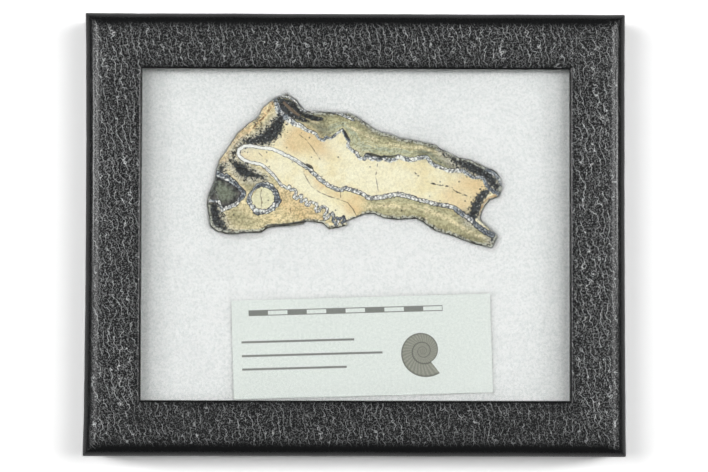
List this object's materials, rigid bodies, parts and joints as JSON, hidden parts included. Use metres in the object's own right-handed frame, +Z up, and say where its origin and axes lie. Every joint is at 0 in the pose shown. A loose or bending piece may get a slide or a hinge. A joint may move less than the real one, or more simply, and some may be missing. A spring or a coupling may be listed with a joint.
{
  "type": "fossil mammoth molar slice in a display case",
  "caption": "Polished slice of a fossil mammoth molar on batting with a blank label, in a shallow glass-fronted, paper-wrapped card case.",
  "frame": {"origin": "middle of the underside of the case, on the surface it lies on", "axes": "+X along the case's long side, +Y across it towards the end above the slice, +Z up out of the window"},
  "size_m": [0.1396, 0.1142, 0.0191],
  "materials": {
    "lid_paper": "card wrapped in black paper embossed with a leather grain, satin",
    "glass": "clear picture glass",
    "tray_paper": "card wrapped in smooth black paper, matt",
    "batting": "loose white polyester fibre",
    "fossil": "polished fossil enamel, dentine and cementum in cream, olive, blue-grey and black",
    "label_paper": "plain white paper with grey print"
  },
  "bodies": {
    "root": {"lid": "lid_paper", "glass_pane": "glass", "tray": "tray_paper", "batting": "batting", "molar_slice": "fossil", "label": "label_paper"}
  },
  "joints": []
}
